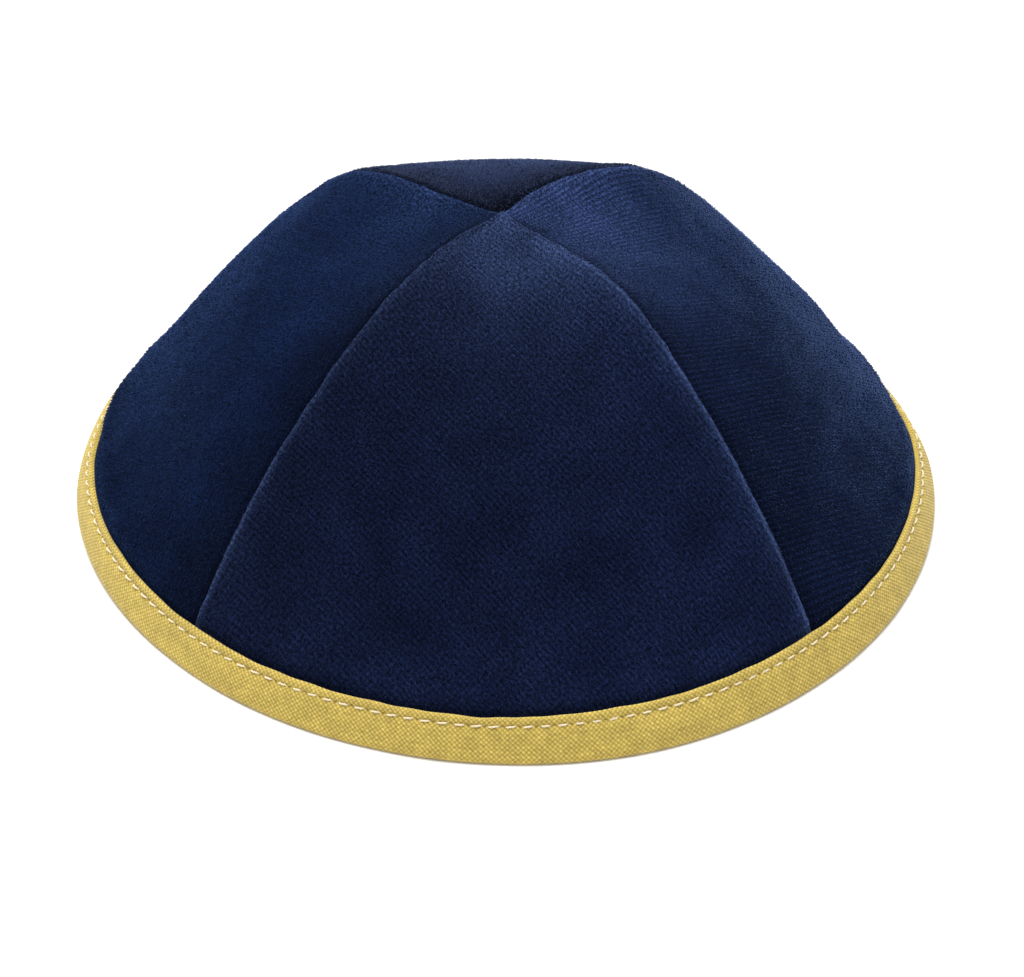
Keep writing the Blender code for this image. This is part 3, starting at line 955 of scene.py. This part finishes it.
def make_binding():
    outline, hidden = tape_outline(), channel_line()
    middle_radius = stitch_line()[0]
    repeats = round(math.tau * middle_radius / WEAVE_REPEAT)
    columns, round_length = repeats * WEAVE_STEPS, repeats * WEAVE_REPEAT
    fine = np.arange(0, TAPE_FINE_LENGTH, WEAVE_REPEAT / WEAVE_STEPS)
    total = along(outline, np.zeros(1))[2]
    coarse = np.arange(fine[-1] + TAPE_COARSE_STEP, total, TAPE_COARSE_STEP)
    lengths = np.concatenate((fine, coarse))
    spots, facing, _ = along(outline, lengths)
    turn = np.arange(columns) / columns * math.tau
    u = turn / math.tau * round_length
    is_fine = (np.arange(len(lengths)) < len(fine))[:, None]
    raised, wander, hole = tape_relief(*np.meshgrid(u, lengths), middle_radius, round_length, is_fine)
    radius = spots[:, :1] + facing[:, :1] * raised - DOWN_THE_WALL[0] * wander
    height = spots[:, 1:] + facing[:, 1:] * raised - DOWN_THE_WALL[1] * wander
    shown = round_points(turn, radius, np.maximum(height, 0.0))
    inside = round_points(turn, hidden[:, :1], hidden[:, 1:])
    points = pulled(np.concatenate((shown, inside)).reshape(-1, 3))
    index = np.arange(len(points)).reshape(-1, columns)
    rings = [list(row[::1 if i < len(fine) else WEAVE_STEPS]) for i, row in enumerate(index)]
    rings = [ring + ring[:1] for ring in rings]
    faces = []
    for upper, lower in zip(rings, rings[1:] + rings[:1]):
        join_lines(faces, upper, lower)
    all_v = np.concatenate((lengths, total + 2.0 * MM * np.arange(1, len(hidden) + 1)))
    uv = np.stack(np.broadcast_arrays(u[None, :], all_v[:, None]), -1).reshape(-1, 2) / MM
    values = {"hole": np.concatenate((hole, np.zeros((len(hidden), columns)))).ravel()}
    thing = make_mesh("linen_binding", points, faces, uv, values, wrap=round_length / MM)
    thing.data.materials.append(linen_material())
    return finish_piece(thing, "rim_binding")


# Topstitches

def stitch_shape(tree, inputs):
    """One stitch along X: two plies that twist round each other, arched, with both ends sunk."""
    half = calc(tree, "MULTIPLY", inputs["Length"], 0.5)
    start = result(tree, "ShaderNodeCombineXYZ", {"X": calc(tree, "MULTIPLY", half, -1.0)})
    end = result(tree, "ShaderNodeCombineXYZ", {"X": half})
    line = result(tree, "GeometryNodeCurvePrimitiveLine", {"Start": start, "End": end})
    rough = result(tree, "GeometryNodeResampleCurve", {"Curve": line, "Count": STITCH_POINTS})
    share = add_node(tree, "GeometryNodeSplineParameter").outputs["Factor"]
    bent = calc(tree, "SINE", calc(tree, "MULTIPLY", share, math.pi))
    arch = calc(tree, "MULTIPLY", calc(tree, "POWER", bent, 0.6), inputs["Rise"])
    ends = calc(tree, "POWER", calc(tree, "SUBTRACT", 1.0, bent), 3.0)
    sink = calc(tree, "MULTIPLY", ends, -STITCH_END_SINK)
    turn = calc(tree, "MULTIPLY", calc(tree, "MULTIPLY", share, math.tau), inputs["Twists"])
    profile = result(tree, "GeometryNodeCurvePrimitiveCircle", {
        "Resolution": STITCH_SIDES, "Radius": inputs["Ply Radius"],
    }, mode="RADIUS")
    plies = []
    for offset in (0.0, math.pi):
        angle = calc(tree, "ADD", turn, offset)
        across, up = (calc(tree, "MULTIPLY", calc(tree, way, angle), inputs["Ply Radius"])
                      for way in ("COSINE", "SINE"))
        up = calc(tree, "ADD", calc(tree, "ADD", up, arch), sink)
        move = result(tree, "ShaderNodeCombineXYZ", {"Y": across, "Z": up})
        ply = result(tree, "GeometryNodeSetPosition", {"Geometry": rough, "Offset": move})
        plies.append(result(tree, "GeometryNodeCurveToMesh", {
            "Curve": ply, "Profile Curve": profile, "Fill Caps": True,
        }))
    both = add_node(tree, "GeometryNodeJoinGeometry")
    for ply in plies:
        link(tree, ply, both.inputs[0])
    return both.outputs[0]


def stitch_tree(material):
    """Lays a two-ply slanted stitch on every point of the ring."""
    tree, inputs, values = new_tree("sew the rim", {
        "Length": STITCH_LENGTH, "Ply Radius": STITCH_PLY_RADIUS, "Rise": STITCH_RISE,
        "Slant": math.radians(STITCH_SLANT_DEG), "Twists": STITCH_TWISTS, "Lean": TAPE_LEAN,
    }, STITCH_SEED)
    shape = stitch_shape(tree, inputs)
    place = result(tree, "GeometryNodeInputPosition")
    outward = vector_calc(tree, "NORMALIZE", vector_calc(tree, "MULTIPLY", place, (1.0, 1.0, 0.0)))
    tangent = vector_calc(tree, "CROSS_PRODUCT", (0.0, 0.0, 1.0), outward)
    level = vector_calc(tree, "SCALE", outward, Scale=calc(tree, "SINE", inputs["Lean"]))
    raised = vector_calc(tree, "SCALE", (0.0, 0.0, 1.0), Scale=calc(tree, "COSINE", inputs["Lean"]))
    normal = vector_calc(tree, "ADD", level, raised)
    faced = result(tree, "FunctionNodeAlignRotationToVector", {"Vector": normal}, axis="Z")
    aligned = result(tree, "FunctionNodeAlignRotationToVector", {
        "Rotation": faced, "Vector": tangent,
    }, axis="X", pivot_axis="Z")
    jitter = add_node(tree, "FunctionNodeRandomValue", {"Min": 0.3, "Max": 1.7, "Seed": inputs["Seed"]})
    slant = calc(tree, "MULTIPLY", jitter.outputs[1], inputs["Slant"])
    tilt = result(tree, "FunctionNodeAxisAngleToRotation", {"Axis": (0, 0, 1), "Angle": slant})
    slanted = result(tree, "FunctionNodeRotateRotation", {
        "Rotation": aligned, "Rotate By": tilt,
    }, rotation_space="LOCAL")
    stretch = add_node(tree, "FunctionNodeRandomValue", {"Min": 0.92, "Max": 1.08, "Seed": inputs["Seed"]})
    scale = result(tree, "ShaderNodeCombineXYZ", {"X": stretch.outputs[1], "Y": 1.0, "Z": 1.0})
    stand_on_points(tree, inputs["Geometry"], shape, slanted, scale, material)
    return tree, values


def make_topstitches():
    count = stitch_count()
    radius, height = stitch_line() + OUT_OF_THE_WALL * (STITCH_PLY_RADIUS - GROOVE_DEPTH)
    points = pulled(round_points((np.arange(count) + 0.5) / count * math.tau, radius, height))
    thing = grow("topstitches", points, {}, *stitch_tree(thread_material()))
    return finish_piece(thing)


# Materials

def new_material(name):
    material = bpy.data.materials.new(name)
    material.use_nodes = True
    return material, material.node_tree, material.node_tree.nodes["Principled BSDF"]


def set_inputs(shader, values):
    for name, value in values.items():
        shader.inputs[name].default_value = value


def set_nap(shader, look, roughness, gloss):
    """The dull finish of velvet, with its sheen at grazing angles."""
    set_inputs(shader, {
        "Roughness": roughness, "Specular IOR Level": gloss, "Sheen Weight": look.sheen_weight,
        "Sheen Roughness": look.sheen_roughness, "Sheen Tint": look.sheen,
    })


def mix_colours(tree, share, first, second, blend="MIX"):
    values = {0: share, 6: first, 7: second}
    return add_node(tree, "ShaderNodeMix", values, data_type="RGBA", blend_type=blend).outputs[2]


def dyed(tree, colour, factor):
    return mix_colours(tree, 1.0, colour, factor, "MULTIPLY")


def noise(tree, place, scale, detail=2.0, rough=0.5):
    return add_node(tree, "ShaderNodeTexNoise", {
        "Vector": place, "Scale": scale, "Detail": detail, "Roughness": rough,
    }).outputs["Fac"]


def point_value(tree, name):
    return add_node(tree, "ShaderNodeAttribute", attribute_name=name).outputs["Fac"]


def spread(tree, value, low, high, start, end):
    """Maps a value's range from low and high to start and end."""
    return result(tree, "ShaderNodeMapRange", {
        "Value": value, "From Min": low, "From Max": high, "To Min": start, "To Max": end,
    })


def velvet_material(panel):
    """The ground of the velvet under its pile, with painted sheen and painted seam shade, and its plain woven
    back.
    """
    look = VELVET_LOOKS[panel.name]
    material, tree, shader = new_material("velvet_ground_" + panel.name)
    cloth, bloom = result(tree, "ShaderNodeUVMap", uv_map="cloth"), point_value(tree, "bloom")
    along_rows = result(tree, "ShaderNodeVectorRotate", {
        "Vector": cloth, "Angle": -math.radians(ROW_DEG),
    }, rotation_type="Z_AXIS")
    squeeze = (MM / DASH_LENGTH, MM / DASH_WIDTH, 1.0)
    grain = noise(tree, vector_calc(tree, "MULTIPLY", along_rows, squeeze), 1.25, 2.0, 0.65)
    patches = noise(tree, cloth, 0.09, 3.0)
    # The ground's dark colour is painted shade deep under the pile, with random patches
    ground = mix_colours(tree, spread(tree, patches, 0.3, 0.7, 0.25, 0.6), look.ground, look.tip)
    # Painted sheen: the ground is mixed towards the panel's pale colour
    ground = mix_colours(tree, bloom, ground, look.pale)
    parts = add_node(tree, "ShaderNodeSeparateXYZ", {0: along_rows}).outputs
    rows, crossing = (calc(tree, "COSINE", calc(tree, "MULTIPLY", parts[axis], math.tau * MM / pitch))
                      for axis, pitch in (("Y", ROW_PITCH), ("X", CROSS_PITCH)))
    wave = calc(tree, "MULTIPLY_ADD", rows, ROW_SHARE, calc(tree, "MULTIPLY", crossing, CROSS_SHARE))
    grid = spread(tree, wave, -1.0, 1.0, 1 - 0.7 * panel.rows, 1 + 0.7 * panel.rows)
    evenness = calc(tree, "MULTIPLY", bloom, PALE_NAP_EVENNESS)
    strength = calc(tree, "MULTIPLY", calc(tree, "SUBTRACT", 1.0, evenness), min(look.grain, 1.0))
    speckled = mix_colours(tree, strength, ground, spread(tree, grain, 0.32, 0.68, 0.25, 1.9), "MULTIPLY")
    # The point value carries random tone and the painted shade beside seams
    speckled = dyed(tree, dyed(tree, speckled, grid), point_value(tree, "tint"))
    # Painted shade: near-black in the crease along an edge that lies under its neighbour's
    dark = calc(tree, "MULTIPLY", point_value(tree, "under_edge"), 0.7)
    outer = mix_colours(tree, dark, speckled, PAINTED_CREASE_SHADE)
    threads = add_node(tree, "ShaderNodeTexWave", {"Vector": cloth, "Scale": 1.3, "Distortion": 0.6})
    backing = mix_colours(tree, threads.outputs["Fac"], VELVET_BACK_DARK, VELVET_BACK_PALE)
    colour = mix_colours(tree, point_value(tree, "inside"), outer, backing)
    bump = result(tree, "ShaderNodeBump", {"Height": grain, "Strength": 0.6, "Distance": 0.25 * MM})
    link(tree, colour, shader.inputs["Base Color"])
    link(tree, bump, shader.inputs["Normal"])
    set_nap(shader, look, 0.95, 0.04)
    return material


def pile_material(panel):
    """Tufts with painted shade at the root, paler tips, painted sheen on the tips, each with its own tone."""
    look = VELVET_LOOKS[panel.name]
    material, tree, shader = new_material("velvet_pile_" + panel.name)
    # Painted shade deep in the pile: each tuft darkens from its tip down to the ground colour at its root
    tip = calc(tree, "POWER", calc(tree, "MAXIMUM", point_value(tree, "tip"), 0.0), 1.3)
    # Painted sheen pales the tufts' tips
    tips = mix_colours(tree, point_value(tree, "bloom"), look.tip, look.pale)
    colour = dyed(tree, mix_colours(tree, tip, look.ground, tips), point_value(tree, "tint"))
    link(tree, colour, shader.inputs["Base Color"])
    set_nap(shader, look, 0.85, 0.05)
    return material


def linen_material():
    """Mustard linen: painted highlights on thread crowns, painted shade in gaps and holes, slubs and soft
    blotches.
    """
    material, tree, shader = new_material("mustard_linen")
    cloth = result(tree, "ShaderNodeUVMap", uv_map="cloth")
    parts = add_node(tree, "ShaderNodeSeparateXYZ", {0: cloth}).outputs
    a, b = (calc(tree, "DIVIDE", calc(tree, way, parts["X"], parts["Y"]), WEAVE_REPEAT / MM)
            for way in ("ADD", "SUBTRACT"))
    tops = []
    for mine, other, sign, lower in ((b, a, THREAD_OVER, 0.0), (a, b, -THREAD_OVER, WEFT_LOWER)):
        thread = calc(tree, "ROUND", mine)
        side = calc(tree, "COSINE", calc(tree, "MULTIPLY", calc(tree, "SUBTRACT", mine, thread), math.pi))
        over = calc(tree, "COSINE", calc(tree, "MULTIPLY", calc(tree, "ADD", other, thread), math.pi))
        tops.append(calc(tree, "SUBTRACT", calc(tree, "MULTIPLY_ADD", over, sign, side), lower))
    height = calc(tree, "MAXIMUM", *tops)
    # Painted light and shade: from the shaded gaps up to the lit crowns with the weave's height
    colour = mix_colours(tree, spread(tree, height, 0.75, 1.55, 0.0, 1.0), LINEN_GAP_PAINTED_SHADE, LINEN_CROWN_PAINTED_HIGHLIGHT)
    blotch = noise(tree, cloth, 0.35, 3.0, 0.6)
    colour = dyed(tree, colour, spread(tree, blotch, 0.3, 0.7, 0.86, 1.14))
    slubs = noise(tree, vector_calc(tree, "MULTIPLY", cloth, (1.6, 1.6, 1.0)), 1.0)
    colour = dyed(tree, colour, spread(tree, slubs, 0.3, 0.7, 0.84, 1.16))
    # Painted shade in the needle holes, on top of their pits
    colour = mix_colours(tree, calc(tree, "MULTIPLY", point_value(tree, "hole"), 0.65), colour, LINEN_HOLE_PAINTED_SHADE)
    grain = noise(tree, cloth, 6.0, 3.0, 0.7)
    bumps = calc(tree, "ADD", calc(tree, "MULTIPLY", height, 0.6), calc(tree, "MULTIPLY", grain, 0.5))
    bump = result(tree, "ShaderNodeBump", {"Height": bumps, "Strength": 0.5, "Distance": 0.1 * MM})
    link(tree, colour, shader.inputs["Base Color"])
    link(tree, bump, shader.inputs["Normal"])
    set_inputs(shader, {
        "Roughness": 0.88, "Specular IOR Level": 0.2, "Sheen Weight": 0.15, "Sheen Roughness": 0.5,
    })
    return material


def thread_material():
    """Cream sewing thread with a fine fibre grain."""
    material, tree, shader = new_material("cream_thread")
    fibres = noise(tree, add_node(tree, "ShaderNodeTexCoord").outputs["Object"], 5200.0, 2.0, 0.6)
    colour = mix_colours(tree, spread(tree, fibres, 0.3, 0.7, 0.0, 1.0), THREAD_DARK, THREAD_PALE)
    link(tree, colour, shader.inputs["Base Color"])
    set_inputs(shader, {"Roughness": 0.7, "Specular IOR Level": 0.3, "Sheen Weight": 0.2})
    return material


# The studio

def make_floor():
    mesh = bpy.data.meshes.new("floor")
    corners = [(x * FLOOR_HALF, y * FLOOR_HALF, FLOOR_LEVEL) for x, y in ((-1, -1), (1, -1), (1, 1), (-1, 1))]
    mesh.from_pydata(corners, [], [(0, 1, 2, 3)])
    material, _, shader = new_material("pale_floor")
    set_inputs(shader, {"Base Color": FLOOR_COLOUR, "Roughness": 1.0, "Specular IOR Level": 0.0})
    mesh.materials.append(material)
    new_thing("floor", mesh)


def make_light():
    world = bpy.data.worlds.new("studio")
    bpy.context.scene.world = world
    world.use_nodes = True
    set_inputs(world.node_tree.nodes["Background"], {"Color": (1.0, 1.0, 1.0, 1), "Strength": SKY_STRENGTH})
    lamp = bpy.data.lights.new("overhead", "AREA")
    lamp.shape = "DISK"
    lamp.size = LAMP_SIZE
    lamp.energy = LAMP_WATTS
    holder = new_thing("overhead", lamp)
    holder.location = LAMP_PLACE
    holder.rotation_euler = (-Vector(LAMP_PLACE)).to_track_quat("-Z", "Y").to_euler()


def make_camera():
    tilt = math.radians(CAMERA_ELEVATION_DEG)
    roll = math.radians(CAMERA_ROLL_DEG)
    level, rising = Vector((1, 0, 0)), Vector((0, math.sin(tilt), math.cos(tilt)))
    right = math.cos(roll) * level + math.sin(roll) * rising
    up = -math.sin(roll) * level + math.cos(roll) * rising
    back = right.cross(up)
    camera = bpy.data.cameras.new("camera")
    camera.lens = CAMERA_LENS_MM
    camera.sensor_width = CAMERA_SENSOR_MM
    camera.clip_start = 0.01
    holder = new_thing("camera", camera)
    spot = back * CAMERA_DISTANCE + right * CAMERA_ASIDE - up * CAMERA_DOWN
    holder.matrix_world = Matrix.Translation(spot) @ Matrix((right, up, back)).transposed().to_4x4()
    bpy.context.scene.camera = holder


def main():
    bpy.context.scene.view_settings.view_transform = "Standard"
    make_camera()
    make_floor()
    make_light()
    for panel in PANELS:
        _, skin = make_panel(panel)
        make_pile(skin)
    make_binding()
    make_topstitches()


main()
